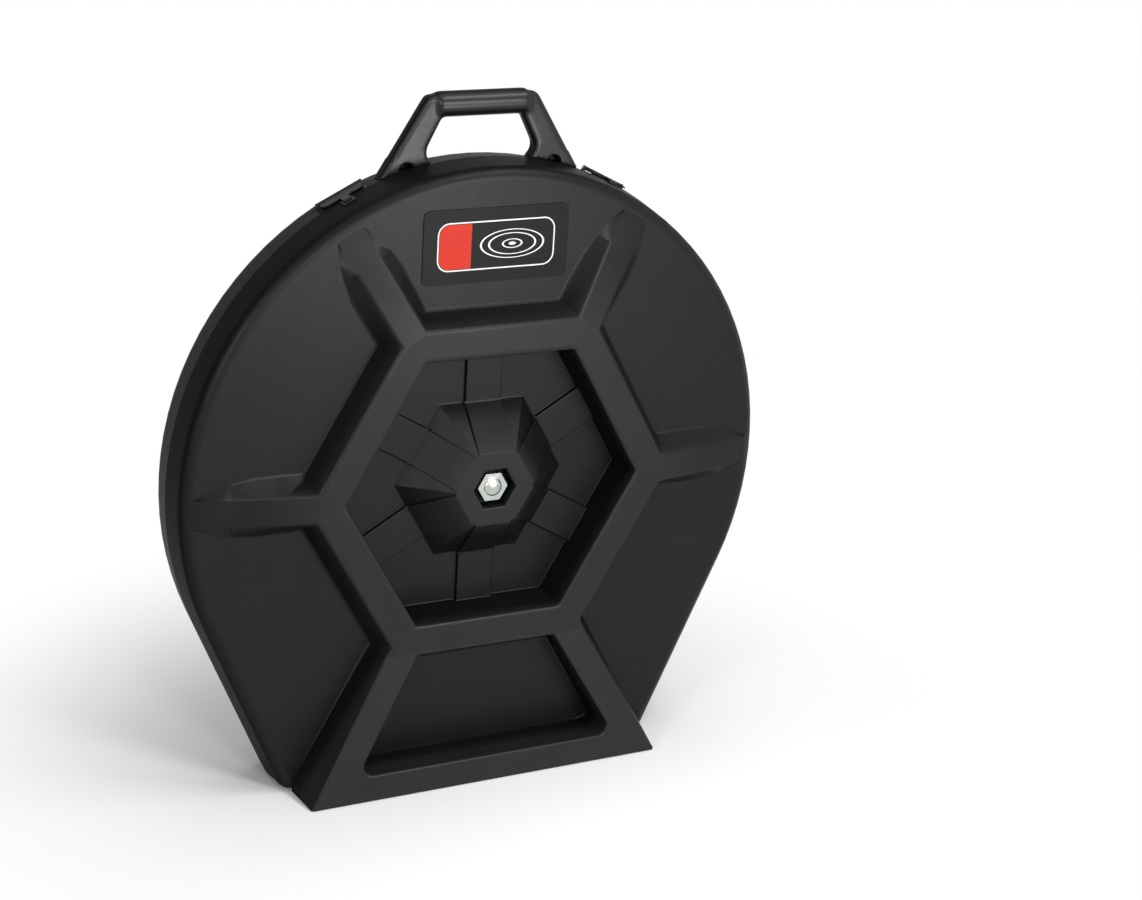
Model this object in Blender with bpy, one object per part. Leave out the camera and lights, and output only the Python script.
"""Hard case for cymbals: two ribbed moulded halves, hinged at the flat base, with a carrying handle.

Lengths are in metres. The case stands on its base at Z = 0, its front faces -Y, and the two halves
meet on the plane Y = 0. Most sizes of the moulded face are given as they are seen from the front,
around the axis of the centre bolt, with a depth measured forward from the parting plane.
"""

import math

import bmesh
import bpy
from mathutils import Matrix, Vector

# Outline of the case, seen from the front
AXIS_HEIGHT = 0.3076
RIM_RADIUS = 0.310
RIM_CENTRE_RISE = 0.0028
SIDE_TILT = math.radians(24)
BASE_CORNER_RADIUS = 0.014
EDGE_ROUNDING = 0.0026
STRIP_EDGE_SHARE = 0.45
WALL = 0.004
PARTING_GAP = 0.0004
WALL_DRAFT = 0.0026

# Depths of the moulded face, from the parting plane
RIM_FILLET = 0.013
PANEL_DEPTH = 0.0386
RING_DEPTH = 0.0644
POCKET_DEPTH = 0.0242
FOOT_DEPTH = 0.0848

# Hexagonal ring round the middle, half-widths across flats
RING_OUTER = 0.1663
RING_WIDTH = 0.0313
RING_FLANK_RUN = 0.0125
POCKET_FLANK_RUN = 0.0045
POCKET_CORNER_RADIUS = 0.004

# Spokes that slope back from the ring to the rim
SPOKE_WIDTH = 0.0282
SPOKE_FLANK_RUN = 0.0130
SPOKE_END_MARGIN = 0.0009
SPOKE_TIP_RISE = 0.0016
SPOKE_TIP_REACH = 0.006
SPOKE_FLANK_SHARES = ((0, 1), (0.25, 1.10), (0.50, 1.12), (0.71, 1.00), (0.86, 0.62), (0.95, 0.30), (1, 0.06))
SPOKE_FADE_SHARES = ((0.90, 0), (0.80, 0.3), (0.65, 0.6))
UPPER_SPOKES = (0, 60, 120, 180)

# Frame of the foot: two spokes and a bar that come forward towards the base
FOOT_SPOKE_OUTER = 0.0118
FOOT_SPOKE_INNER = 0.0170
FOOT_FLANK_RUN = 0.0100
FOOT_FLANK_END = 0.0166
FOOT_FLANK_BASE_RUN = 0.0018
FOOT_BAR_HEIGHT = 0.0270
FOOT_POCKET_RUN = 0.0038
FOOT_POCKET_CORNER = 0.009

# Hub and the raised strips that join it to the ring
HUB_BASE_RADIUS = 0.090
HUB_TOP_FLAT = 0.0375
RAMP_STEP = 0.0022
RAMP_MARGIN = 0.0003
HUB_EDGE_SHARE = 0.2
HUB_DEPTH = 0.0640
STRIP_WIDTH = 0.0386
STRIP_RISE = 0.004
STRIP_LEDGE = 0.0005
RECESS_RADIUS = 0.0225
RECESS_FLOOR = 0.0480

# Tongue on the rear half, which enters the front half round the top
TONGUE_REACH = 0.0038
TONGUE_THICKNESS = 0.0018
TONGUE_ROOT = 0.003
TONGUE_END_STEPS = 4

# Centre bolt and what is threaded on it
BOLT_RADIUS = 0.005
BOLT_TAIL = 0.034
BOLT_CHAMFER = 0.0012
CAP_NUT_FLATS = 0.0276
CAP_NUT_HEIGHT = 0.0082
CAP_CHAMFER_SHARE = 0.2
CAP_DOME_RADIUS = 0.0095
CAP_DOME_HEIGHT = 0.0034
CAP_END_WALL = 0.003
OUTER_WASHER_RADIUS = 0.0150
INNER_WASHER_RADIUS = 0.0170
WASHER_THICKNESS = 0.002
LOCK_NUT_FLATS = 0.017
LOCK_NUT_HEIGHT = 0.008
CUP_RADIUS = 0.016
CUP_HEIGHT = 0.004
CUP_SHEET = 0.0012
FELT_RADIUS = 0.018
FELT_THICKNESS = 0.006
SLEEVE_WALL = 0.0018
CLAMP_WASHER_RADIUS = 0.0145
CLAMP_WASHER_THICKNESS = 0.0016
WING_HUB_RADIUS = 0.0085
WING_HUB_HEIGHT = 0.011
WING_SPAN = 0.050
WING_HEIGHT = 0.016
WING_THICKNESS = 0.0036
SEAT_GAP = 0.0003

# Handle on the rear half
HANDLE_FRONT = 0.0006
HANDLE_DEPTH = 0.0160
HANDLE_TOP_HALF = 0.0570
HANDLE_RISE = 0.0595
HANDLE_FOOT_HALF = 0.1070
HANDLE_FOOT_DROP = 0.0214
HANDLE_CORNER = 0.007
HANDLE_EDGE = 0.0028
GRIP_RADIUS = 0.0125
GRIP_HALF_LENGTH = 0.0470
GRIP_RISE = 0.0501
OPENING_RISE = 0.0396
OPENING_TOP_HALF = 0.0410
OPENING_WIDEST_RISE = 0.0040
OPENING_WIDEST_HALF = 0.0590
OPENING_TOE_DROP = 0.0060
OPENING_TOE_HALF = 0.0500
OPENING_CORNER = 0.010
NOTCH_PLACE = 0.0775
NOTCH_WIDTH = 0.0152
NOTCH_DROP = 0.0035
NOTCH_DEPTH = 0.011

# Screws of the handle and the plates inside the wall under its feet
SCREW_PLACES = (0.0635, 0.0915)
SCREW_RADIUS = 0.0025
SCREW_GRIP = 0.010
SCREW_HEAD_RADIUS = 0.0048
SCREW_HEAD_HEIGHT = 0.0028
SCREW_Y = 0.0086
BACKING_PLATE_THICKNESS = 0.0015
BACKING_PLATE_WIDTH = 0.010
BACKING_PLATE_MARGIN = 0.008

# Snap latches beside the handle
LATCH_ANGLE = math.radians(26.5)
LATCH_LENGTH = 0.050
LATCH_SEAT_DEPTH = 0.0027
LATCH_BASE_THICKNESS = 0.0012
LATCH_BASE_FRONT = 0.0012
LATCH_BASE_BACK = 0.0180
LATCH_PIN_RADIUS = 0.0010
LATCH_PIN_Y = 0.0148
LATCH_PIN_HEIGHT = 0.0013
LATCH_BARREL_RADIUS = 0.0020
LATCH_EAR_WIDTH = 0.0020
LATCH_EAR_MARGIN = 0.0012
LEVER_THICKNESS = 0.0016
LEVER_LIFT = 0.0005
LEVER_FRONT = 0.0014
LEVER_END_ROUND = 0.005
HOOK_WIDTH = 0.0085
HOOK_REACH = 0.0085
KEEPER_WIDTH = 0.013
KEEPER_LENGTH = 0.010
KEEPER_BACK = 0.0022
KEEPER_THICKNESS = 0.0010

# Hinges under the base
HINGE_HEIGHT = 0.0033
LID_OPENING = math.radians(135)
RELIEF_CLEARANCE = 0.0004
HINGE_PLACE = 0.110
HINGE_LENGTH = 0.070
HINGE_LEAF_REACH = 0.0125
HINGE_SHEET = 0.0010
KNUCKLE_RADIUS = 0.0025
HINGE_PIN_RADIUS = 0.0011
KNUCKLES = 5
HINGE_POCKET_MARGIN = 0.001

# Rivets
RIVET_RADIUS = 0.0016
RIVET_HEAD_RADIUS = 0.0030
RIVET_HEAD_HEIGHT = 0.0008
RIVET_SPREAD_SHARE = 0.6
HEAD_TOP_SHARE = 0.6
CUP_FLOOR_SHARE = 0.75
WING_SHOULDER_SHARE = 0.7
WING_TOP_SHARE = 0.8
EAR_SHOULDER_SHARE = 0.7
RIVET_Y = 0.0078

# Foam linings
PAD_INNER_RADIUS = 0.096
PAD_OUTER_RADIUS = 0.126
PAD_THICKNESS = 0.005
RIM_FOAM_THICKNESS = 0.012
RIM_FOAM_FRONT = 0.0162
RIM_FOAM_BACK = 0.0250
RIM_FOAM_SWEEP = math.radians(220)

# Blank label on the front
LABEL_WIDTH = 0.152
LABEL_HEIGHT_SHARE = 0.60
LABEL_THICKNESS = 0.0008
LABEL_CORNER = 0.006

# Facets and overlaps
OVERLAP = 0.003
CUT_OVERRUN = 0.010
RIM_STEPS = 60
CORNER_STEPS = 3
FILLET_STEPS = 4
ROUND_SIDES = 24
SMALL_SIDES = 12
NEARLY_ROUND_SHARE = 0.98
RIVET_SIDES = 8
SHARP = math.radians(32)
CREASE = math.radians(35)
FLAT = math.radians(0.4)
WELD = 0.00001

BLACK_POLYETHYLENE = ((0.022, 0.022, 0.023), 0.48, 0.0)
BLACK_NYLON = ((0.030, 0.031, 0.032), 0.40, 0.0)
BLACK_STEEL = ((0.018, 0.018, 0.019), 0.45, 0.6)
ZINC_STEEL = ((0.62, 0.62, 0.58), 0.35, 1.0)
BRIGHT_STEEL = ((0.75, 0.75, 0.75), 0.15, 1.0)
GREY_FELT = ((0.12, 0.12, 0.12), 0.95, 0.0)
CHARCOAL_FOAM = ((0.035, 0.035, 0.037), 0.95, 0.0)
CLEAR_NYLON = ((0.55, 0.54, 0.50), 0.45, 0.0)
LABEL_FILM = ((0.030, 0.030, 0.031), 0.35, 0.0)


def clear_scene():
    """Removes every object of the start-up scene."""
    for found in list(bpy.data.objects):
        bpy.data.objects.remove(found, do_unlink=True)


def face_point(x, z, depth):
    """A point of the moulded face: x and z from the bolt axis, depth forward from the parting plane."""
    return Vector((x, -depth, z + AXIS_HEIGHT))


def turned(radius, angle):
    """x and z of a point at this radius and angle from the bolt axis."""
    return radius * math.cos(angle), radius * math.sin(angle)


def across(distance, offset, angle):
    """x and z of a point this far out along a ray at the angle, and offset to its left."""
    return (
        distance * math.cos(angle) - offset * math.sin(angle),
        distance * math.sin(angle) + offset * math.cos(angle),
    )


def drawn_in(inset, run, rise):
    """How far the top edge of a sloping flank moves in when flank and top both move in by inset."""
    return inset * (math.hypot(run, rise) - run) / rise


def raw_object(shape):
    """A plain object that holds a bmesh, for use as an operand."""
    bmesh.ops.recalc_face_normals(shape, faces=shape.faces)
    mesh = bpy.data.meshes.new("operand")
    shape.to_mesh(mesh)
    shape.free()
    operand = bpy.data.objects.new("operand", mesh)
    bpy.context.scene.collection.objects.link(operand)
    return operand


def hull(points):
    """The convex solid round these points."""
    shape = bmesh.new()
    for point in points:
        shape.verts.new(point)
    made = bmesh.ops.convex_hull(shape, input=shape.verts)
    inner = {item for item in made["geom_interior"] if isinstance(item, bmesh.types.BMVert)}
    bmesh.ops.delete(shape, geom=list(inner), context="VERTS")
    bmesh.ops.dissolve_limit(shape, angle_limit=FLAT, verts=shape.verts, edges=shape.edges)
    return raw_object(shape)


def loft(loops):
    """The solid through closed loops of equally many points, with flat ends."""
    shape = bmesh.new()
    rings = [[shape.verts.new(point) for point in loop] for loop in loops]
    count = len(rings[0])
    for first, second in zip(rings, rings[1:]):
        for i in range(count):
            j = (i + 1) % count
            shape.faces.new((first[i], first[j], second[j], second[i]))
    shape.faces.new(rings[0])
    shape.faces.new(rings[-1])
    return raw_object(shape)


def box(low, high):
    """The block between two corners."""
    return hull([(x, y, z) for x in (low[0], high[0]) for y in (low[1], high[1]) for z in (low[2], high[2])])


def lathe(profile, sides, start, direction):
    """A turned solid from (radius, distance) pairs. It may have a bore, where its ends share a radius."""
    axis = Vector(direction).normalized()
    side = axis.orthogonal().normalized()
    other = axis.cross(side)
    shape = bmesh.new()
    rings = []
    for radius, distance in profile:
        centre = Vector(start) + axis * distance
        if radius == 0:
            rings.append([shape.verts.new(centre)])
            continue
        turn = [2 * math.pi * i / sides for i in range(sides)]
        rings.append(
            [shape.verts.new(centre + radius * (side * math.cos(a) + other * math.sin(a))) for a in turn]
        )
    closed = rings[0] if len(rings[0]) > 1 else None
    pairs = list(zip(rings, rings[1:])) + ([(rings[-1], closed)] if closed else [])
    for first, second in pairs:
        for i in range(sides):
            j = (i + 1) % sides
            corners = [first[i % len(first)], first[j % len(first)], second[j % len(second)], second[i % len(second)]]
            shape.faces.new(list(dict.fromkeys(corners)))
    return raw_object(shape)


def cylinder(radius, sides, start, end):
    """A plain round bar between two points."""
    start, end = Vector(start), Vector(end)
    length = (end - start).length
    return lathe([(0, 0), (radius, 0), (radius, length), (0, length)], sides, start, end - start)


def rounded(corners, radii, steps):
    """The corners of a flat outline with arcs of the given radii in them, where the radius isn't zero."""
    points = []
    count = len(corners)
    for i, (corner, radius) in enumerate(zip(corners, radii)):
        corner = Vector(corner)
        if radius == 0:
            points.append(corner)
            continue
        back = (Vector(corners[i - 1]) - corner).normalized()
        ahead = (Vector(corners[(i + 1) % count]) - corner).normalized()
        half = back.angle(ahead) / 2
        middle = corner + (back + ahead).normalized() * (radius / math.sin(half))
        first = corner + back * (radius / math.tan(half)) - middle
        sweep = math.pi - 2 * half
        sense = 1 if first.cross(corner + ahead * (radius / math.tan(half)) - middle) > 0 else -1
        for step in range(steps + 1):
            angle = sense * sweep * step / steps
            points.append(middle + Matrix.Rotation(angle, 2) @ first)
    return points


def prism(outline, front, back):
    """The solid of a flat x, z outline between two Y planes."""
    return loft([[Vector((x, y, z)) for x, z in outline] for y in (front, back)])


def applied(base):
    """The shape with its modifiers made part of its mesh."""
    result = bpy.data.meshes.new_from_object(base.evaluated_get(bpy.context.evaluated_depsgraph_get()))
    base.modifiers.clear()
    used = base.data
    base.data = result
    bpy.data.meshes.remove(used)
    return base


def combine(base, tools, operation):
    """Applies one Boolean of base with all the other shapes, which are used up."""
    group = bpy.data.collections.new("operands")
    for tool in tools:
        group.objects.link(tool)
    modifier = base.modifiers.new("shape", "BOOLEAN")
    modifier.operation = operation
    modifier.solver = "EXACT"
    modifier.operand_type = "COLLECTION"
    modifier.collection = group
    applied(base)
    for tool in tools:
        mesh = tool.data
        bpy.data.objects.remove(tool, do_unlink=True)
        bpy.data.meshes.remove(mesh)
    bpy.data.collections.remove(group)
    return reshape(base, weld)


def weld(shape):
    """Merges the points that a Boolean left on top of each other, and drops faces that lie back to back."""
    bmesh.ops.remove_doubles(shape, verts=shape.verts, dist=WELD)
    bmesh.ops.dissolve_degenerate(shape, edges=shape.edges, dist=WELD)
    groups = {}
    for face in shape.faces:
        groups.setdefault(frozenset(face.verts), []).append(face)
    doubled = [face for group in groups.values() if len(group) == 2 for face in group]
    bmesh.ops.delete(shape, geom=doubled, context="FACES")


def join(base, *tools):
    """The union of these shapes."""
    return combine(base, tools, "UNION")


def cut(base, *tools):
    """The first shape without the others."""
    return combine(base, tools, "DIFFERENCE")


def common(base, tool):
    """What two shapes share."""
    return combine(base, [tool], "INTERSECT")


def reshape(base, change):
    """Lets a function change the bmesh of a shape."""
    shape = bmesh.new()
    shape.from_mesh(base.data)
    change(shape)
    shape.to_mesh(base.data)
    shape.free()
    return base


def softened(base, width, segments, share_of):
    """The shape with its edges rounded: share_of gives each edge its share of the width, or 0."""

    def weigh(shape):
        bmesh.ops.dissolve_limit(shape, angle_limit=FLAT, verts=shape.verts, edges=shape.edges)
        layer = shape.edges.layers.float.new("bevel_weight_edge")
        for edge in shape.edges:
            edge[layer] = share_of(edge)

    modifier = reshape(base, weigh).modifiers.new("edges", "BEVEL")
    modifier.width = width
    modifier.segments = segments
    modifier.limit_method = "WEIGHT"
    modifier.use_clamp_overlap = False
    return reshape(applied(base), weld)


def sharper_than(angle):
    """Gives the whole width to edges sharper than the angle."""
    return lambda edge: 1 if edge.calc_face_angle(0) > angle else 0


def moulded_edge_share(edge):
    """How much of the full rounding an edge of the moulded face gets."""
    middle = (edge.verts[0].co + edge.verts[1].co) / 2
    depth, drop = -middle.y, AXIS_HEIGHT - middle.z
    if edge.calc_face_angle(0) < CREASE or depth < PARTING_GAP:
        return 0
    if drop < RING_OUTER:
        along = (math.hypot(middle.x, drop) - spoke_start()) / (spoke_end() - spoke_start())
        for place, share in SPOKE_FADE_SHARES:
            if along > place:
                return share
    at_base_corner = drop > AXIS_HEIGHT - RIM_FILLET - BASE_CORNER_RADIUS and depth < PANEL_DEPTH + WALL
    on_rim = depth < PANEL_DEPTH - WELD and math.hypot(middle.x, drop) > RING_OUTER
    if at_base_corner or on_rim:
        return 0
    if depth < POCKET_DEPTH + STRIP_RISE + WALL / 4 and math.hypot(middle.x, drop) < RING_OUTER:
        return STRIP_EDGE_SHARE
    if math.hypot(middle.x, drop) < RECESS_RADIUS + WALL / 4:
        return STRIP_EDGE_SHARE
    if math.hypot(middle.x, drop) < HUB_BASE_RADIUS:
        return HUB_EDGE_SHARE
    return 1


def mirrored_back(base):
    """The same shape turned from the front half to the rear half."""

    def change(shape):
        bmesh.ops.scale(shape, vec=(1, -1, 1), verts=shape.verts)
        bmesh.ops.reverse_faces(shape, faces=shape.faces)

    return reshape(base, change)


def finish(shape, name, look, origin=(0, 0, 0), turn=None):
    """Names a finished piece, gives it its material and sets its origin, with an optional turn about it."""
    place = Matrix.Translation(Vector(origin))
    if turn is not None:
        place = place @ turn
    shape.data.transform(place.inverted())
    shape.matrix_world = place
    shape.name = name
    shape.data.name = name
    colour, roughness, metallic = look
    surface = bpy.data.materials.new(name + "_finish")
    surface.use_nodes = True
    shader = surface.node_tree.nodes["Principled BSDF"]
    shader.inputs["Base Color"].default_value = (*colour, 1)
    shader.inputs["Roughness"].default_value = roughness
    shader.inputs["Metallic"].default_value = metallic
    shape.data.materials.clear()
    shape.data.materials.append(surface)
    shape.data.shade_smooth()
    shape.data.set_sharp_from_angle(angle=SHARP)
    return shape


def outline(radius, base_drop, corner):
    """Closed x, z outline of the case: round above, straight sides that lean in, flat base."""
    side = math.pi / 2 + SIDE_TILT
    centre_z = corner - base_drop
    centre_x = (radius - corner + math.sin(SIDE_TILT) * (centre_z - RIM_CENTRE_RISE)) / math.cos(SIDE_TILT)
    points = []
    for i in range(RIM_STEPS + 1):
        angle = -SIDE_TILT + 2 * side * i / RIM_STEPS
        x, z = turned(radius, angle)
        points.append((x, z + RIM_CENTRE_RISE))
    for sign in (-1, 1):
        for i in range(CORNER_STEPS + 1):
            share = i / CORNER_STEPS if sign < 0 else 1 - i / CORNER_STEPS
            angle = -SIDE_TILT - (math.pi / 2 - SIDE_TILT) * share
            x, z = turned(corner, angle)
            points.append((sign * (centre_x + x), centre_z + z))
    return points


def wall_radius(depth):
    """Outer radius of the side wall at a depth, which the draft makes smaller towards the panel."""
    return RIM_RADIUS + WALL_DRAFT * (1 - depth / (PANEL_DEPTH - RIM_FILLET))


def body_loops(inset, start):
    """Outlines through the dish of one half, drawn in by inset, from the start depth to the panel."""
    straight = PANEL_DEPTH - RIM_FILLET
    fillet = RIM_FILLET - inset
    levels = [(start, wall_radius(start) - RIM_RADIUS), (straight, 0)]
    for i in range(1, FILLET_STEPS + 1):
        angle = math.pi / 2 * i / FILLET_STEPS
        levels.append((straight + fillet * math.sin(angle), fillet * (math.cos(angle) - 1)))
    loops = []
    for depth, growth in levels:
        corner = max(BASE_CORNER_RADIUS - inset + min(growth, 0), BASE_CORNER_RADIUS / CORNER_STEPS)
        drop = AXIS_HEIGHT - inset + min(growth, 0)
        loops.append(
            [face_point(x, z, depth) for x, z in outline(RIM_RADIUS - inset + growth, drop, corner)]
        )
    return loops


def hexagon(flat_radius):
    """x and z of a hexagon's corners, level above and below, from its half-width across flats."""
    return [turned(flat_radius / math.cos(math.pi / 6), math.radians(60 * i)) for i in range(6)]


def moved_out(corners, shifts):
    """The x, z outline with each edge, from its corner to the next, moved outwards by its own shift."""
    lines = []
    count = len(corners)
    for i, shift in enumerate(shifts):
        first, second = Vector(corners[i]), Vector(corners[(i + 1) % count])
        along = (second - first).normalized()
        lines.append((first + shift * Vector((along.y, -along.x)), along))
    points = []
    for (start, along), (other, turned_along) in zip([lines[-1], *lines[:-1]], lines):
        cross = along.x * turned_along.y - along.y * turned_along.x
        gap = other - start
        points.append(start + along * ((gap.x * turned_along.y - gap.y * turned_along.x) / cross))
    return points


def ring_outline():
    """Corners of the ring's plateau, with the flank run of the edge that starts at each."""
    tip = RING_OUTER / math.cos(math.pi / 6)
    corners, runs = [], []
    for angle in UPPER_SPOKES:
        for sign in (-1, 1):
            corners.append(across(spoke_start(), sign * SPOKE_WIDTH / 2, math.radians(angle)))
            runs.append(RING_FLANK_RUN)
    outer_x = foot_edge(RING_OUTER, FOOT_SPOKE_OUTER)
    side = across(tip - FOOT_SPOKE_OUTER * math.tan(math.pi / 6), -FOOT_SPOKE_OUTER, math.radians(240))
    corners += [side, (-outer_x, -RING_OUTER), (outer_x, -RING_OUTER), (-side[0], side[1])]
    runs += [FOOT_FLANK_RUN, RING_FLANK_RUN, FOOT_FLANK_RUN, RING_FLANK_RUN]
    return corners, runs


def ring_solid(inset):
    """The raised hexagon, cut by a chord where each upper spoke begins, with its shoulders at the foot."""
    rise = RING_DEPTH - PANEL_DEPTH
    corners, runs = ring_outline()
    drawn = [drawn_in(inset, run, rise) for run in runs]
    top = moved_out(corners, [-shift for shift in drawn])
    bottom = moved_out(corners, [run - shift for run, shift in zip(runs, drawn)])
    levels = (
        (top, RING_DEPTH - inset),
        (bottom, PANEL_DEPTH - inset),
        (bottom, PANEL_DEPTH - inset - OVERLAP),
    )
    return loft([[face_point(x, z, depth) for x, z in points] for points, depth in levels])


def spoke_start():
    """Distance from the axis where the upper spokes begin to slope."""
    return RING_OUTER / math.cos(math.pi / 6) - SPOKE_WIDTH / 2 * math.tan(math.pi / 6)


def spoke_end():
    """Distance from the axis where the upper spokes meet the rim's rounding."""
    return RIM_RADIUS - RIM_FILLET - SPOKE_END_MARGIN


def spoke_solid(angle, inset):
    """One upper spoke: its top slopes from the ring to the rim and its flanks fade out there."""
    half = SPOKE_WIDTH / 2 - drawn_in(inset, SPOKE_FLANK_RUN, RING_DEPTH - PANEL_DEPTH)
    start, end = spoke_start(), spoke_end()
    top, low, under = RING_DEPTH - inset, PANEL_DEPTH - inset, PANEL_DEPTH - inset - OVERLAP
    stations = [(start - SPOKE_FLANK_RUN, top - OVERLAP / 2, half)]
    for along, run in SPOKE_FLANK_SHARES:
        depth = top - (top - low - SPOKE_TIP_RISE) * along
        stations.append((start + (end - start) * along, depth, half + SPOKE_FLANK_RUN * run))
    stations.append((end + SPOKE_TIP_REACH, low - SPOKE_TIP_RISE * 2, half))
    loops = []
    for reach, depth, wide in stations:
        section = [(-half, depth), (half, depth), (wide, min(low, depth)), (wide, under), (-wide, under)]
        section.append((-wide, min(low, depth)))
        loops.append([face_point(*across(reach, offset, angle), level) for offset, level in section])
    return loft(loops)


def foot_edge(drop, offset):
    """x of a line beside a lower spoke at this drop below the axis, offset outwards from its ray."""
    return drop * math.tan(math.pi / 6) + offset / math.cos(math.pi / 6)


def foot_depth(drop):
    """Depth of the foot's face at a drop below the axis: it comes forward towards the base."""
    return RING_DEPTH + (FOOT_DEPTH - RING_DEPTH) * (drop - RING_OUTER) / (AXIS_HEIGHT - RING_OUTER)


def foot_solid(inset):
    """The foot's frame with its pocket."""
    run_in = drawn_in(inset, FOOT_FLANK_RUN, RING_DEPTH - PANEL_DEPTH)
    outer = FOOT_SPOKE_OUTER - run_in
    floor = outer + FOOT_FLANK_RUN
    base = AXIS_HEIGHT - inset
    bend = AXIS_HEIGHT - FOOT_FLANK_END
    above = RING_OUTER - RIM_FILLET
    points = []
    for sign in (-1, 1):
        for drop in (above, RING_OUTER, base):
            points.append(face_point(sign * foot_edge(drop, outer), -drop, foot_depth(drop) - inset))
        for depth in (PANEL_DEPTH - inset, PANEL_DEPTH - inset - OVERLAP):
            points.append(face_point(sign * foot_edge(above, outer), -above, depth))
            points.append(face_point(sign * foot_edge(RING_OUTER, floor), -RING_OUTER, depth))
            points.append(face_point(sign * foot_edge(bend, floor), -bend, depth))
            x = foot_edge(base, outer) + FOOT_FLANK_BASE_RUN
            points.append(face_point(sign * x, -base, depth))
    return cut(hull(points), foot_pocket(inset))


def foot_pocket(inset):
    """The pocket between the foot's spokes, ring and bar, with rounded lower corners."""
    grown = drawn_in(inset, FOOT_POCKET_RUN, RING_DEPTH - PANEL_DEPTH)
    lip = FOOT_SPOKE_INNER - grown
    top = RING_OUTER - RIM_FILLET - OVERLAP
    bottom = AXIS_HEIGHT - FOOT_BAR_HEIGHT + inset
    loops = []
    for widening, depth in ((0, FOOT_DEPTH + CUT_OVERRUN), (1, PANEL_DEPTH - CUT_OVERRUN)):
        offset = -(lip + widening * FOOT_POCKET_RUN)
        corners = [
            (foot_edge(top, offset), -top),
            (foot_edge(bottom, offset), -bottom),
            (-foot_edge(bottom, offset), -bottom),
            (-foot_edge(top, offset), -top),
        ]
        corner = FOOT_POCKET_CORNER - min(inset, FOOT_POCKET_CORNER / 2)
        round_corners = rounded(corners, (0, corner, corner, 0), CORNER_STEPS)
        loops.append([face_point(x, z, depth) for x, z in round_corners])
    return loft(loops)


def pocket_solid(inset):
    """What is cut from the ring to make the sunk middle."""
    rise = RING_DEPTH - POCKET_DEPTH
    grown = drawn_in(inset, POCKET_FLANK_RUN, rise)
    slope = POCKET_FLANK_RUN / rise
    loops = []
    for depth in (RING_DEPTH + CUT_OVERRUN, POCKET_DEPTH - inset):
        flat_radius = RING_OUTER - RING_WIDTH + grown - slope * (RING_DEPTH - inset - depth)
        corners = hexagon(flat_radius)
        loops.append([face_point(x, z, depth) for x, z in rounded(corners, (POCKET_CORNER_RADIUS,) * 6, 2)])
    return loft(loops)


def hub_solid(inset):
    """The hub: six ramps in line with the strips, a step above the facets between them."""
    rise = HUB_DEPTH - POCKET_DEPTH
    flat, top = HUB_BASE_RADIUS * math.cos(math.pi / 6), HUB_TOP_FLAT - RAMP_STEP
    ramp_foot = HUB_TOP_FLAT + (flat + STRIP_LEDGE - HUB_TOP_FLAT) * rise / (rise - STRIP_RISE)
    drawn = drawn_in(inset, flat - top, rise)
    half = STRIP_WIDTH / 2 - RAMP_MARGIN - inset / 2
    levels = ((flat, ramp_foot, POCKET_DEPTH - OVERLAP), (flat, ramp_foot, POCKET_DEPTH), (top, HUB_TOP_FLAT, HUB_DEPTH))
    loops = []
    for facet, ramp, depth in levels:
        loop = []
        for i in range(6):
            corner, middle = math.radians(60 * i), math.radians(60 * i + 30)
            loop.append(turned((facet - drawn) / math.cos(math.pi / 6), corner))
            for reach, side in ((facet, -half), (ramp, -half), (ramp, half), (facet, half)):
                loop.append(across(reach - drawn, side, middle))
        loops.append([face_point(x, z, depth - inset) for x, z in loop])
    return loft(loops)


def strip_solids(inset):
    """Three bars across the pocket floor that make the six strips."""
    reach = RING_OUTER - RING_WIDTH + OVERLAP / 2
    half = STRIP_WIDTH / 2 - inset / 2
    bars = []
    for i in range(3):
        angle = math.radians(60 * i + 30)
        points = []
        for depth in (POCKET_DEPTH + STRIP_RISE - inset, POCKET_DEPTH - inset - OVERLAP):
            points += [
                face_point(*across(end, side, angle), depth)
                for end in (-reach, reach)
                for side in (-half, half)
            ]
        bars.append(hull(points))
    return bars


def recess_solid(inset):
    """The hexagonal recess in the hub, for the cap nut."""
    flat_radius = RECESS_RADIUS * math.cos(math.pi / 6) + inset
    loops = []
    for depth in (HUB_DEPTH + CUT_OVERRUN, RECESS_FLOOR - inset):
        loops.append([face_point(x, z, depth) for x, z in hexagon(flat_radius)])
    return loft(loops)


def half_form(inset, start):
    """The solid moulded form of one half, drawn in by inset."""
    raised = [ring_solid(inset), foot_solid(inset)]
    raised += [spoke_solid(math.radians(angle), inset) for angle in UPPER_SPOKES]
    form = join(loft(body_loops(inset, start)), *raised)
    form = cut(form, pocket_solid(inset))
    form = join(form, hub_solid(inset), *strip_solids(inset))
    return cut(form, recess_solid(inset))


def relief_half_width():
    """Half-width of the channel under the base that lets the two feet swing clear of each other."""
    return HINGE_HEIGHT * math.tan(LID_OPENING / 2) + RELIEF_CLEARANCE


def hinge_pocket_top():
    """Height of the pocket roof that a hinge leaf is riveted to."""
    return HINGE_HEIGHT + KNUCKLE_RADIUS + SEAT_GAP


def base_cutters():
    """The channel along the base and the two hinge pockets."""
    half = relief_half_width()
    wide = RIM_RADIUS
    cutters = [box((-wide, -half, -CUT_OVERRUN), (wide, half, HINGE_HEIGHT + SEAT_GAP))]
    reach = HINGE_LEAF_REACH + HINGE_POCKET_MARGIN
    length = HINGE_LENGTH / 2 + HINGE_POCKET_MARGIN
    for side in (-1, 1):
        middle = side * HINGE_PLACE
        low = (middle - length, -reach, -CUT_OVERRUN)
        cutters.append(box(low, (middle + length, reach, hinge_pocket_top())))
    return cutters


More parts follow.
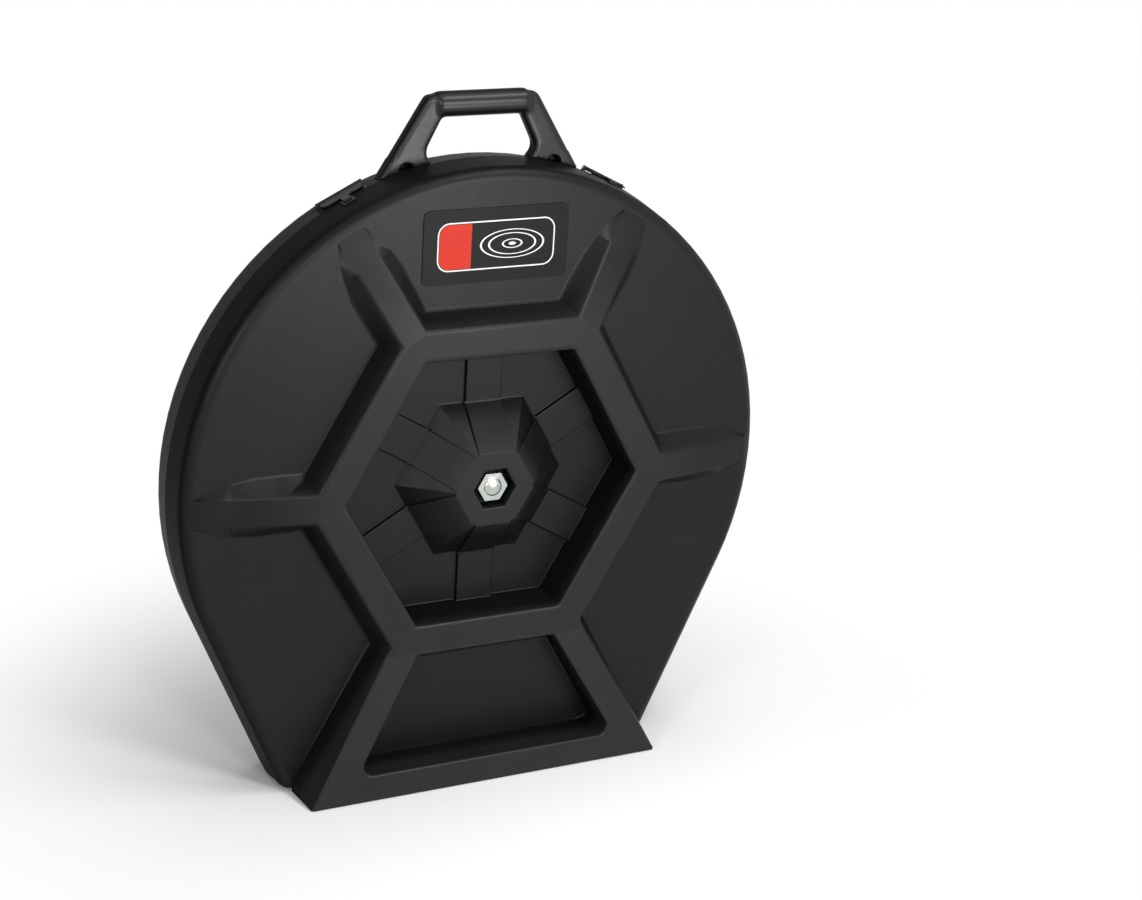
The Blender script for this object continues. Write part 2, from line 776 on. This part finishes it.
def hinge_rivets():
    """Where the hinge rivets are: side, half of the case, and place."""
    places = []
    for side in (-1, 1):
        for end in (-1, 1):
            x = side * HINGE_PLACE + end * RIVET_SPREAD_SHARE * HINGE_LENGTH / 2
            for half, sign in (("front", -1), ("rear", 1)):
                places.append((side, end, half, Vector((x, sign * RIVET_Y, hinge_pocket_top()))))
    return places


def side_name(side):
    """Left and right as the person facing the front sees them."""
    return "left" if side < 0 else "right"


def rim_frame(side, angle):
    """Axes of a place on the rim: along the tangent, back and outwards, from the parting plane's edge."""
    lean = math.pi / 2 - side * angle
    out = Vector((math.cos(lean), 0, math.sin(lean)))
    along = Vector((0, 1, 0)).cross(out)
    origin = out * wall_radius(0) + Vector((0, 0, AXIS_HEIGHT + RIM_CENTRE_RISE))
    frame = Matrix((along, Vector((0, 1, 0)), out)).transposed().to_4x4()
    return Matrix.Translation(origin) @ frame


def moved(shape, matrix):
    """The shape carried from local axes to its place."""
    shape.data.transform(matrix)
    return shape


def wall_height(back):
    """Height of the wall's surface at a latch, against the parting edge, at a distance back from it."""
    return wall_radius(abs(back)) - wall_radius(0)


def latch_rivets():
    """Local x, y and the half that each latch rivet is in."""
    reach = RIVET_SPREAD_SHARE * LATCH_LENGTH / 2
    middle = (LATCH_BASE_FRONT + LATCH_PIN_Y - LATCH_BARREL_RADIUS) / 2
    return ((-reach, middle, "base_a"), (reach, middle, "base_b"))


def keeper_middle():
    """Local y of the middle of a keeper, on the front half."""
    return -(KEEPER_BACK + KEEPER_LENGTH / 2)


def screw_angle(place):
    """Angle on the rim of a handle screw at this x."""
    return math.asin(place / wall_radius(SCREW_Y))


def screw_line(side, place):
    """Start at the wall's outer face and outward direction of a handle screw."""
    lean = math.pi / 2 - side * screw_angle(place)
    out = Vector((math.cos(lean), 0, math.sin(lean)))
    return Vector((0, SCREW_Y, AXIS_HEIGHT + RIM_CENTRE_RISE)) + out * wall_radius(SCREW_Y), out


def shell_blank():
    """One half of the case before its holes: the moulded wall round its hollow."""
    outer = softened(half_form(0, PARTING_GAP / 2), EDGE_ROUNDING, 2, moulded_edge_share)
    hollow = half_form(WALL, -CUT_OVERRUN)
    half = HINGE_LEAF_REACH + HINGE_POCKET_MARGIN + WALL
    roof = hinge_pocket_top() + WALL
    hollow = cut(hollow, box((-RIM_RADIUS, -half, -CUT_OVERRUN), (RIM_RADIUS, half, roof)))
    shell = cut(outer, hollow)
    return cut(shell, *base_cutters())


def rim_angle(step):
    """Angle round the rim of a facet line of the outline."""
    return -SIDE_TILT + (math.pi + 2 * SIDE_TILT) * step / RIM_STEPS


def tongue():
    """Lip of the rear half, inside the front half's wall, round the top."""
    sections = (
        (-TONGUE_REACH, TONGUE_THICKNESS),
        (-TONGUE_REACH, TONGUE_THICKNESS / 4),
        (-TONGUE_REACH + TONGUE_THICKNESS, 0),
        (PARTING_GAP / 2, 0),
        (PARTING_GAP / 2, -WALL / 2),
        (TONGUE_ROOT, -WALL / 2),
        (TONGUE_ROOT, TONGUE_THICKNESS),
    )
    loops = []
    for step in range(TONGUE_END_STEPS, RIM_STEPS - TONGUE_END_STEPS + 1):
        loop = []
        for y, inwards in sections:
            radius = wall_radius(abs(y)) - WALL - SEAT_GAP - inwards
            x, z = turned(radius, rim_angle(step))
            loop.append(Vector((x, y, z + AXIS_HEIGHT + RIM_CENTRE_RISE)))
        loops.append(loop)
    return loft(loops)


def build_shells():
    """Both halves, each with its own holes and seats."""
    front = shell_blank()
    rear = mirrored_back(reshape_copy(front))
    rear = join(rear, tongue())
    front_cuts, rear_cuts = [], []
    middle = Vector((0, 0, AXIS_HEIGHT))
    bolt_hole = BOLT_RADIUS + SEAT_GAP
    front_cuts.append(
        cylinder(
            bolt_hole,
            ROUND_SIDES,
            middle + Vector((0, -RECESS_FLOOR - CUT_OVERRUN, 0)),
            middle + Vector((0, -RECESS_FLOOR + WALL + CUT_OVERRUN, 0)),
        )
    )
    hole = RIVET_RADIUS + SEAT_GAP
    for _, _, half, place in hinge_rivets():
        bar = cylinder(hole, RIVET_SIDES, place - Vector((0, 0, CUT_OVERRUN)), place + Vector((0, 0, CUT_OVERRUN)))
        (front_cuts if half == "front" else rear_cuts).append(bar)
    for side in (-1, 1):
        frame = rim_frame(side, LATCH_ANGLE)
        half = LATCH_LENGTH / 2 + HINGE_POCKET_MARGIN
        seat = box((-half, -CUT_OVERRUN, -LATCH_SEAT_DEPTH), (half, LATCH_BASE_BACK + SEAT_GAP, CUT_OVERRUN))
        rear_cuts.append(moved(seat, frame))
        for x, y, _ in latch_rivets():
            rear_cuts.append(moved(cylinder(hole, RIVET_SIDES, (x, y, -CUT_OVERRUN), (x, y, CUT_OVERRUN)), frame))
        y = keeper_middle()
        front_cuts.append(moved(cylinder(hole, RIVET_SIDES, (0, y, -CUT_OVERRUN), (0, y, CUT_OVERRUN)), frame))
        for place in SCREW_PLACES:
            start, out = screw_line(side, place)
            bar = cylinder(
                SCREW_RADIUS + SEAT_GAP, RIVET_SIDES, start - out * CUT_OVERRUN, start + out * CUT_OVERRUN
            )
            rear_cuts.append(bar)
    hinge = (0, 0, HINGE_HEIGHT)
    finish(cut(front, *front_cuts), "front_shell", BLACK_POLYETHYLENE, hinge)
    finish(cut(rear, *rear_cuts), "rear_shell", BLACK_POLYETHYLENE)


def reshape_copy(base):
    """A separate object with the same shape."""
    copy = bpy.data.objects.new("operand", base.data.copy())
    bpy.context.scene.collection.objects.link(copy)
    return copy


def rim_body(growth):
    """The rear wall as a solid, grown by this much, to fit the handle's feet to it."""
    loops = []
    for depth in (-CUT_OVERRUN, 2 * PANEL_DEPTH):
        loops.append(
            [
                Vector((x, depth, z + AXIS_HEIGHT))
                for x, z in outline(wall_radius(depth) + growth, AXIS_HEIGHT, BASE_CORNER_RADIUS)
            ]
        )
    return loft(loops)


def build_handle():
    """The handle: a bevelled frame with a round grip, its feet fitted to the rim."""
    front, back = HANDLE_FRONT, HANDLE_FRONT + HANDLE_DEPTH
    low = -HANDLE_FOOT_DROP - OVERLAP
    low_half = HANDLE_FOOT_HALF + (HANDLE_FOOT_HALF - HANDLE_TOP_HALF) * OVERLAP / (HANDLE_RISE + HANDLE_FOOT_DROP)
    corners = [(-low_half, low), (low_half, low), (HANDLE_TOP_HALF, HANDLE_RISE), (-HANDLE_TOP_HALF, HANDLE_RISE)]
    frame = rounded(corners, (0, 0, HANDLE_CORNER, HANDLE_CORNER), 2 * CORNER_STEPS)
    right_side = (
        (OPENING_TOE_HALF, low - CUT_OVERRUN, 0),
        (OPENING_TOE_HALF, -OPENING_TOE_DROP, OPENING_CORNER / 2),
        (OPENING_WIDEST_HALF, OPENING_WIDEST_RISE, OPENING_CORNER),
        (OPENING_TOP_HALF, OPENING_RISE, 0),
    )
    opening = [(half, height) for half, height, _ in right_side]
    opening += [(-half, height) for half, height, _ in reversed(right_side)]
    radii = [radius for _, _, radius in (*right_side, *reversed(right_side))]
    hole = rounded(opening, radii, CORNER_STEPS)
    lifted = Matrix.Translation((0, 0, AXIS_HEIGHT + RIM_CENTRE_RISE + wall_radius(0)))
    blank = cut(prism(frame, front, back), prism(hole, front - CUT_OVERRUN, back + CUT_OVERRUN))
    blank = softened(blank, HANDLE_EDGE, 2, sharper_than(2 * SHARP))
    y = (front + back) / 2
    grip = cylinder(GRIP_RADIUS, ROUND_SIDES, (-GRIP_HALF_LENGTH, y, GRIP_RISE), (GRIP_HALF_LENGTH, y, GRIP_RISE))
    blank = moved(join(blank, grip), lifted)
    notches = []
    half = NOTCH_WIDTH / 2
    for side in (-1, 1):
        corners = [
            (side * NOTCH_PLACE - half, low - CUT_OVERRUN),
            (side * NOTCH_PLACE + half, low - CUT_OVERRUN),
            (side * NOTCH_PLACE + half, -NOTCH_DROP),
            (side * NOTCH_PLACE - half, -NOTCH_DROP),
        ]
        arch = rounded(corners, (0, 0, half * NEARLY_ROUND_SHARE, half * NEARLY_ROUND_SHARE), 2 * CORNER_STEPS)
        notches.append(moved(prism(arch, front - CUT_OVERRUN, front + NOTCH_DEPTH), lifted))
    screws = []
    for side in (-1, 1):
        for place in SCREW_PLACES:
            start, out = screw_line(side, place)
            end = start + out * (SCREW_GRIP + SEAT_GAP)
            screws.append(cylinder(SCREW_RADIUS + SEAT_GAP, RIVET_SIDES, start - out * CUT_OVERRUN, end))
    finish(cut(blank, rim_body(SEAT_GAP), *notches, *screws), "handle", BLACK_NYLON)


def build_handle_fixings():
    """A steel plate and two screws inside the wall under each foot of the handle."""
    inner = wall_radius(SCREW_Y) - WALL - SEAT_GAP
    for side in (-1, 1):
        first = screw_angle(SCREW_PLACES[0]) - BACKING_PLATE_MARGIN / inner
        last = screw_angle(SCREW_PLACES[1]) + BACKING_PLATE_MARGIN / inner
        loops = []
        for i in range(SMALL_SIDES + 1):
            lean = math.pi / 2 - side * (first + (last - first) * i / SMALL_SIDES)
            loop = []
            for back in (-BACKING_PLATE_WIDTH / 2, BACKING_PLATE_WIDTH / 2):
                y = SCREW_Y + back
                drawn = wall_radius(y) - wall_radius(SCREW_Y)
                for radius in (inner + drawn, inner + drawn - BACKING_PLATE_THICKNESS):
                    x, z = turned(radius, lean)
                    loop.append(Vector((x, y, z + AXIS_HEIGHT + RIM_CENTRE_RISE)))
            loops.append([loop[0], loop[1], loop[3], loop[2]])
        plate = loft(loops)
        bores = []
        for number, place in enumerate(SCREW_PLACES, start=1):
            start, out = screw_line(side, place)
            bores.append(
                cylinder(SCREW_RADIUS + SEAT_GAP, RIVET_SIDES, start - out * 2 * CUT_OVERRUN, start + out * WALL)
            )
            under = -(WALL + 2 * SEAT_GAP + BACKING_PLATE_THICKNESS + HINGE_SHEET / 2)
            profile = (
                (0, under - SCREW_HEAD_HEIGHT),
                (SCREW_HEAD_RADIUS * HEAD_TOP_SHARE, under - SCREW_HEAD_HEIGHT),
                (SCREW_HEAD_RADIUS, under - SCREW_HEAD_HEIGHT / 2),
                (SCREW_HEAD_RADIUS, under),
                (SCREW_RADIUS, under),
                (SCREW_RADIUS, SCREW_GRIP - SCREW_RADIUS),
                (0, SCREW_GRIP),
            )
            screw = lathe(profile, SMALL_SIDES, start, out)
            finish(screw, f"handle_screw_{side_name(side)}_{number}", ZINC_STEEL)
        finish(cut(plate, *bores), f"handle_plate_{side_name(side)}", ZINC_STEEL)


def build_centre_bolt():
    """The bolt through the front hub and the stack of washers, felts and nuts on it."""
    axis = Vector((0, 1, 0))
    middle = Vector((0, 0, AXIS_HEIGHT))
    clear = BOLT_RADIUS + SEAT_GAP
    y = -RECESS_FLOOR - SEAT_GAP
    outer_face = y - WASHER_THICKNESS

    def piece(name, profile, look, sides=ROUND_SIDES):
        return finish(lathe(profile, sides, middle, axis), name, look, middle)

    def washer(name, radius, low, high, look):
        piece(name, ((clear, low), (radius, low), (radius, high), (clear, high)), look)

    washer("outer_washer", OUTER_WASHER_RADIUS, outer_face, y, ZINC_STEEL)
    nut_back = outer_face - SEAT_GAP
    nut_front = nut_back - CAP_NUT_HEIGHT
    corner = CAP_NUT_FLATS / 2 / math.cos(math.pi / 6)
    nut = loft([[middle + Vector((x, d, z)) for x, z in hexagon(CAP_NUT_FLATS / 2)] for d in (nut_back, nut_front)])
    chamfer = (corner - CAP_NUT_FLATS / 2) * CAP_CHAMFER_SHARE
    trim = (
        (0, nut_back + OVERLAP),
        (corner + chamfer, nut_back + OVERLAP),
        (corner + chamfer, nut_front + 2 * chamfer),
        (corner - chamfer, nut_front),
        (0, nut_front),
    )
    nut = common(nut, lathe(trim, ROUND_SIDES, middle, axis))
    dome = [(0, nut_front + OVERLAP), (CAP_DOME_RADIUS, nut_front + OVERLAP)]
    for i in range(FILLET_STEPS + 1):
        angle = math.pi / 2 * i / FILLET_STEPS
        dome.append((CAP_DOME_RADIUS * math.cos(angle), nut_front - CAP_DOME_HEIGHT * math.sin(angle)))
    dome[-1] = (0, dome[-1][1])
    nut = join(nut, lathe(dome, ROUND_SIDES, middle, axis))
    bolt_end = nut_front - CAP_DOME_HEIGHT + CAP_END_WALL
    bore = cylinder(clear, ROUND_SIDES, middle + axis * (bolt_end - SEAT_GAP), middle + axis * (nut_back + OVERLAP))
    finish(cut(nut, bore), "cap_nut", ZINC_STEEL, middle)

    y = -RECESS_FLOOR + WALL + SEAT_GAP
    washer("inner_washer", INNER_WASHER_RADIUS, y, y + WASHER_THICKNESS, ZINC_STEEL)
    y += WASHER_THICKNESS + SEAT_GAP
    lock = loft(
        [
            [middle + Vector((x, d, z)) for x, z in hexagon(LOCK_NUT_FLATS / 2)]
            for d in (y, y + LOCK_NUT_HEIGHT)
        ]
    )
    bore = cylinder(
        clear, ROUND_SIDES, middle + axis * (y - OVERLAP), middle + axis * (y + LOCK_NUT_HEIGHT + OVERLAP)
    )
    finish(cut(lock, bore), "lock_nut", ZINC_STEEL, middle)
    y += LOCK_NUT_HEIGHT + SEAT_GAP
    cup = (
        (clear, y),
        (CUP_RADIUS * CUP_FLOOR_SHARE, y),
        (CUP_RADIUS, y + CUP_HEIGHT - CUP_SHEET),
        (CUP_RADIUS, y + CUP_HEIGHT),
        (CUP_RADIUS - CUP_SHEET, y + CUP_HEIGHT),
        (CUP_RADIUS * CUP_FLOOR_SHARE - CUP_SHEET / 2, y + CUP_SHEET),
        (clear, y + CUP_SHEET),
    )
    piece("cup_washer", cup, ZINC_STEEL)
    y += CUP_SHEET + SEAT_GAP
    bore_radius = clear + SLEEVE_WALL + SEAT_GAP
    stack_start = y
    edge = FELT_THICKNESS / 5
    inside_cup = CUP_RADIUS * CUP_FLOOR_SHARE - CUP_SHEET
    for name in ("felt_washer_front", "felt_washer_rear"):
        low_radius = inside_cup if name.endswith("front") else FELT_RADIUS - edge
        low_step = CUP_HEIGHT if name.endswith("front") else edge
        felt = (
            (bore_radius, y),
            (low_radius, y),
            (min(low_radius + low_step, FELT_RADIUS), y + low_step),
            (FELT_RADIUS, y + low_step + SEAT_GAP),
            (FELT_RADIUS, y + FELT_THICKNESS - edge),
            (FELT_RADIUS - edge, y + FELT_THICKNESS),
            (bore_radius, y + FELT_THICKNESS),
        )
        piece(name, felt, GREY_FELT)
        y += FELT_THICKNESS + SEAT_GAP
    sleeve_end = y - 2 * SEAT_GAP
    sleeve = (
        (clear, stack_start),
        (clear + SLEEVE_WALL, stack_start),
        (clear + SLEEVE_WALL, sleeve_end),
        (clear, sleeve_end),
    )
    piece("bolt_sleeve", sleeve, CLEAR_NYLON)
    washer("clamp_washer", CLAMP_WASHER_RADIUS, y, y + CLAMP_WASHER_THICKNESS, ZINC_STEEL)
    y += CLAMP_WASHER_THICKNESS + SEAT_GAP
    hub = lathe(
        (
            (0, y),
            (WING_HUB_RADIUS, y),
            (WING_HUB_RADIUS, y + WING_HUB_HEIGHT * WING_SHOULDER_SHARE),
            (WING_HUB_RADIUS * WING_TOP_SHARE, y + WING_HUB_HEIGHT),
            (0, y + WING_HUB_HEIGHT),
        ),
        ROUND_SIDES,
        middle,
        axis,
    )
    wings = []
    wing_shares = ((0.24, 0.10), (0.62, 0.16), (0.98, 0.62), (1.0, 0.86), (0.86, 1.0), (0.62, 0.86), (0.24, 0.62))
    for side in (-1, 1):
        section = [
            (side * WING_SPAN / 2 * reach, y + WING_HEIGHT * rise) for reach, rise in wing_shares
        ]
        loops = []
        for z in (-WING_THICKNESS / 2, WING_THICKNESS / 2):
            loops.append([middle + Vector((x, d, z)) for x, d in section])
        wings.append(loft(loops))
    bore = cylinder(clear, ROUND_SIDES, middle + axis * (y - OVERLAP), middle + axis * (y + 2 * WING_HUB_HEIGHT))
    finish(cut(join(hub, *wings), bore), "wing_nut", ZINC_STEEL, middle)
    bolt = (
        (0, bolt_end),
        (BOLT_RADIUS, bolt_end),
        (BOLT_RADIUS, BOLT_TAIL - BOLT_CHAMFER),
        (BOLT_RADIUS - BOLT_CHAMFER, BOLT_TAIL),
        (0, BOLT_TAIL),
    )
    piece("centre_bolt", bolt, BRIGHT_STEEL)


def build_latches():
    """Two snap latches: base plate with ears, lever with hook, pin, keeper and rivets."""
    lever_top = LEVER_LIFT + LEVER_THICKNESS
    half = LATCH_LENGTH / 2
    for side in (-1, 1):
        name = side_name(side)
        frame = rim_frame(side, LATCH_ANGLE)
        low = -LATCH_SEAT_DEPTH + SEAT_GAP
        high = low + LATCH_BASE_THICKNESS
        plate = box((-half, LATCH_BASE_FRONT, low), (half, LATCH_BASE_BACK, high))
        ears = []
        ear_round = LATCH_PIN_RADIUS + LATCH_EAR_MARGIN
        for end in (-1, 1):
            inner, outer = end * (half - LATCH_EAR_WIDTH), end * half
            ears.append(
                hull(
                    [
                        (x, LATCH_PIN_Y + dy * ear_round, z)
                        for x in (inner, outer)
                        for dy, z in (
                            (-1, high - OVERLAP / 4),
                            (1, high - OVERLAP / 4),
                            (-1, LATCH_PIN_HEIGHT),
                            (1, LATCH_PIN_HEIGHT),
                            (-EAR_SHOULDER_SHARE, LATCH_PIN_HEIGHT + EAR_SHOULDER_SHARE * ear_round),
                            (EAR_SHOULDER_SHARE, LATCH_PIN_HEIGHT + EAR_SHOULDER_SHARE * ear_round),
                            (0, LATCH_PIN_HEIGHT + ear_round),
                        )
                    ]
                )
            )
        base = join(plate, *ears)
        pin_from = (-half - OVERLAP, LATCH_PIN_Y, LATCH_PIN_HEIGHT)
        pin_to = (half + OVERLAP, LATCH_PIN_Y, LATCH_PIN_HEIGHT)
        bores = [cylinder(LATCH_PIN_RADIUS + SEAT_GAP / 3, SMALL_SIDES, pin_from, pin_to)]
        hole = RIVET_RADIUS + SEAT_GAP
        for x, y, _ in latch_rivets():
            bores.append(cylinder(hole, RIVET_SIDES, (x, y, low - OVERLAP), (x, y, high + OVERLAP)))
        finish(moved(cut(base, *bores), frame), f"latch_base_{name}", BLACK_STEEL)

        lever_half = half - LATCH_EAR_WIDTH - SEAT_GAP
        barrel_from = (-lever_half, LATCH_PIN_Y, LATCH_PIN_HEIGHT)
        barrel_to = (lever_half, LATCH_PIN_Y, LATCH_PIN_HEIGHT)
        corners = [
            (-lever_half, LEVER_FRONT),
            (lever_half, LEVER_FRONT),
            (lever_half, LATCH_PIN_Y),
            (-lever_half, LATCH_PIN_Y),
        ]
        flat = rounded(corners, (LEVER_END_ROUND, LEVER_END_ROUND, 0, 0), CORNER_STEPS)
        lever = loft([[Vector((x, y, z)) for x, y in flat] for z in (LEVER_LIFT, lever_top)])
        hook = hull(
            [
                (x, y, z)
                for x in (-HOOK_WIDTH / 2, HOOK_WIDTH / 2)
                for y, z in (
                    (LEVER_FRONT + OVERLAP, LEVER_LIFT),
                    (LEVER_FRONT + OVERLAP, lever_top),
                    (-HOOK_REACH, LEVER_LIFT),
                    (-HOOK_REACH, lever_top - LEVER_THICKNESS / 2),
                    (-HOOK_REACH + LEVER_THICKNESS, lever_top),
                )
            ]
        )
        lever = join(lever, hook, cylinder(LATCH_BARREL_RADIUS, SMALL_SIDES, barrel_from, barrel_to))
        bore = cylinder(LATCH_PIN_RADIUS + SEAT_GAP / 3, SMALL_SIDES, pin_from, pin_to)
        origin = frame @ Vector((0, LATCH_PIN_Y, LATCH_PIN_HEIGHT))
        finish(moved(cut(lever, bore), frame), f"latch_lever_{name}", BLACK_STEEL, origin, frame.to_3x3().to_4x4())
        pin = cylinder(
            LATCH_PIN_RADIUS,
            SMALL_SIDES,
            (-half + SEAT_GAP, LATCH_PIN_Y, LATCH_PIN_HEIGHT),
            (half - SEAT_GAP, LATCH_PIN_Y, LATCH_PIN_HEIGHT),
        )
        finish(moved(pin, frame), f"latch_pin_{name}", ZINC_STEEL)

        near, far = -KEEPER_BACK, -(KEEPER_BACK + KEEPER_LENGTH)
        top = LEVER_LIFT - SEAT_GAP
        edge = KEEPER_WIDTH / 2
        seat = [wall_height(y) + SEAT_GAP - edge**2 / 2 / RIM_RADIUS for y in (near, far)]
        keeper = hull(
            [
                point
                for x in (-edge, edge)
                for point in (
                    (x, near, top - KEEPER_THICKNESS / 2),
                    (x, near, top),
                    (x, near - HOOK_REACH + KEEPER_BACK, top),
                    (x, far, wall_height(far) + SEAT_GAP + KEEPER_THICKNESS),
                    (x, far, seat[1]),
                    (x, near, seat[0]),
                )
            ]
        )
        keeper = cut(keeper, moved(rim_cutter(), frame.inverted()))
        y = keeper_middle()
        bore = cylinder(hole, RIVET_SIDES, (0, y, -CUT_OVERRUN), (0, y, CUT_OVERRUN))
        finish(moved(cut(keeper, bore), frame), f"latch_keeper_{name}", BLACK_STEEL)
        inside = -(WALL + SEAT_GAP)
        for x, y, label in latch_rivets():
            drop = inside + wall_height(y) - x * x / 2 / RIM_RADIUS - SEAT_GAP
            finish(moved(rivet((x, y, high + SEAT_GAP), (x, y, drop)), frame), f"latch_rivet_{name}_{label}", ZINC_STEEL)
        drop = inside + wall_height(keeper_middle()) - SEAT_GAP
        y = keeper_middle()
        sink = top + SEAT_GAP
        finish(moved(keeper_rivet((0, y, sink), (0, y, drop)), frame), f"keeper_rivet_{name}", ZINC_STEEL)


def rim_cutter():
    """The front wall as a solid with its seating gap, to fit a keeper to it."""
    return mirrored_back(rim_body(SEAT_GAP))


def rivet(top, bottom):
    """A rivet with a low head at each end, between the undersides of its heads."""
    top, bottom = Vector(top), Vector(bottom)
    length = (top - bottom).length
    head = RIVET_HEAD_HEIGHT
    profile = (
        (0, -head),
        (RIVET_HEAD_RADIUS * HEAD_TOP_SHARE, -head),
        (RIVET_HEAD_RADIUS, 0),
        (RIVET_RADIUS, 0),
        (RIVET_RADIUS, length),
        (RIVET_HEAD_RADIUS, length),
        (RIVET_HEAD_RADIUS * HEAD_TOP_SHARE, length + head),
        (0, length + head),
    )
    return lathe(profile, RIVET_SIDES, bottom, top - bottom)


def keeper_rivet(top, bottom):
    """A rivet under the hook of a latch, so its outer end lies below the keeper's face."""
    top, bottom = Vector(top), Vector(bottom)
    length = (top - bottom).length - RIVET_HEAD_HEIGHT
    profile = (
        (0, -RIVET_HEAD_HEIGHT),
        (RIVET_HEAD_RADIUS * HEAD_TOP_SHARE, -RIVET_HEAD_HEIGHT),
        (RIVET_HEAD_RADIUS, 0),
        (RIVET_RADIUS, 0),
        (RIVET_RADIUS, length),
        (0, length),
    )
    return lathe(profile, RIVET_SIDES, bottom, top - bottom)


def build_hinges():
    """Two butt hinges in the base channel: a leaf on each half, a pin and the rivets."""
    leaf_top = hinge_pocket_top() - SEAT_GAP
    leaf_low = leaf_top - HINGE_SHEET
    knuckle = HINGE_LENGTH / KNUCKLES
    for side in (-1, 1):
        middle = side * HINGE_PLACE
        first = middle - HINGE_LENGTH / 2
        for half, sign in (("front", -1), ("rear", 1)):
            near = sign * (KNUCKLE_RADIUS + SEAT_GAP)
            far = sign * HINGE_LEAF_REACH
            leaf = box(
                (first, min(near, far), leaf_low), (first + HINGE_LENGTH, max(near, far), leaf_top)
            )
            own = [k for k in range(KNUCKLES) if k % 2 == (0 if half == "front" else 1)]
            knuckles = []
            for k in own:
                low = first + k * knuckle + (SEAT_GAP if k else 0)
                high = first + (k + 1) * knuckle - (SEAT_GAP if k < KNUCKLES - 1 else 0)
                knuckles.append(
                    cylinder(KNUCKLE_RADIUS, SMALL_SIDES, (low, 0, HINGE_HEIGHT), (high, 0, HINGE_HEIGHT))
                )
                arm = (min(0, far / 2), max(0, far / 2))
                knuckles.append(box((low, arm[0], leaf_low), (high, arm[1], leaf_top)))
            leaf = join(leaf, *knuckles)
            bores = [
                cylinder(
                    HINGE_PIN_RADIUS + SEAT_GAP / 3,
                    SMALL_SIDES,
                    (first - OVERLAP, 0, HINGE_HEIGHT),
                    (first + HINGE_LENGTH + OVERLAP, 0, HINGE_HEIGHT),
                )
            ]
            for rivet_side, _, rivet_half, place in hinge_rivets():
                if rivet_side == side and rivet_half == half:
                    low = place - Vector((0, 0, CUT_OVERRUN))
                    bores.append(cylinder(RIVET_RADIUS + SEAT_GAP, RIVET_SIDES, low, place + Vector((0, 0, OVERLAP))))
            name = f"hinge_leaf_{half}_{side_name(side)}"
            finish(cut(leaf, *bores), name, BLACK_STEEL, (middle, 0, HINGE_HEIGHT))
        pin = cylinder(
            HINGE_PIN_RADIUS,
            SMALL_SIDES,
            (first + SEAT_GAP, 0, HINGE_HEIGHT),
            (first + HINGE_LENGTH - SEAT_GAP, 0, HINGE_HEIGHT),
        )
        finish(pin, f"hinge_pin_{side_name(side)}", ZINC_STEEL, (middle, 0, HINGE_HEIGHT))
    for side, end, half, place in hinge_rivets():
        bottom = Vector((place.x, place.y, leaf_low - SEAT_GAP))
        top = Vector((place.x, place.y, hinge_pocket_top() + WALL + SEAT_GAP))
        number = 1 if end < 0 else 2
        finish(rivet(top, bottom), f"hinge_rivet_{half}_{side_name(side)}_{number}", ZINC_STEEL)


def build_foam():
    """Foam ring on each pocket floor and foam band round the inside of each half's wall."""
    floor = POCKET_DEPTH - WALL - SEAT_GAP
    middle = Vector((0, 0, AXIS_HEIGHT))
    sides = 2 * ROUND_SIDES
    for half, sign in (("front", -1), ("rear", 1)):
        profile = (
            (PAD_INNER_RADIUS, floor - PAD_THICKNESS),
            (PAD_OUTER_RADIUS, floor - PAD_THICKNESS),
            (PAD_OUTER_RADIUS, floor),
            (PAD_INNER_RADIUS, floor),
        )
        finish(lathe(profile, sides, middle, (0, sign, 0)), f"foam_ring_{half}", CHARCOAL_FOAM)
        lean = (RIM_FOAM_SWEEP - math.pi) / 2
        loops = []
        for i in range(RIM_STEPS + 1):
            angle = -lean + RIM_FOAM_SWEEP * i / RIM_STEPS
            loop = []
            for depth, inwards in (
                (RIM_FOAM_FRONT, 0),
                (RIM_FOAM_BACK, 0),
                (RIM_FOAM_BACK, RIM_FOAM_THICKNESS),
                (RIM_FOAM_FRONT, RIM_FOAM_THICKNESS),
            ):
                radius = wall_radius(depth) - WALL - 2 * SEAT_GAP - inwards
                x, z = turned(radius, angle)
                loop.append(Vector((x, sign * depth, z + AXIS_HEIGHT + RIM_CENTRE_RISE)))
            loops.append(loop)
        finish(loft(loops), f"foam_band_{half}", CHARCOAL_FOAM)


def build_label():
    """A thin blank label on the top panel of the front."""
    low, high = RING_OUTER + RING_FLANK_RUN, RIM_CENTRE_RISE + RIM_RADIUS - RIM_FILLET
    half_x, half_z = LABEL_WIDTH / 2, LABEL_HEIGHT_SHARE * (high - low) / 2
    corners = [(-half_x, -half_z), (half_x, -half_z), (half_x, half_z), (-half_x, half_z)]
    flat = rounded(corners, (LABEL_CORNER,) * 4, CORNER_STEPS)
    back = PANEL_DEPTH + SEAT_GAP
    loops = []
    for depth in (back, back + LABEL_THICKNESS):
        loops.append([face_point(x, z + (low + high) / 2, depth) for x, z in flat])
    finish(loft(loops), "label_blank", LABEL_FILM)


def main():
    clear_scene()
    build_shells()
    build_handle()
    build_handle_fixings()
    build_centre_bolt()
    build_latches()
    build_hinges()
    build_foam()
    build_label()


if __name__ == "__main__":
    main()
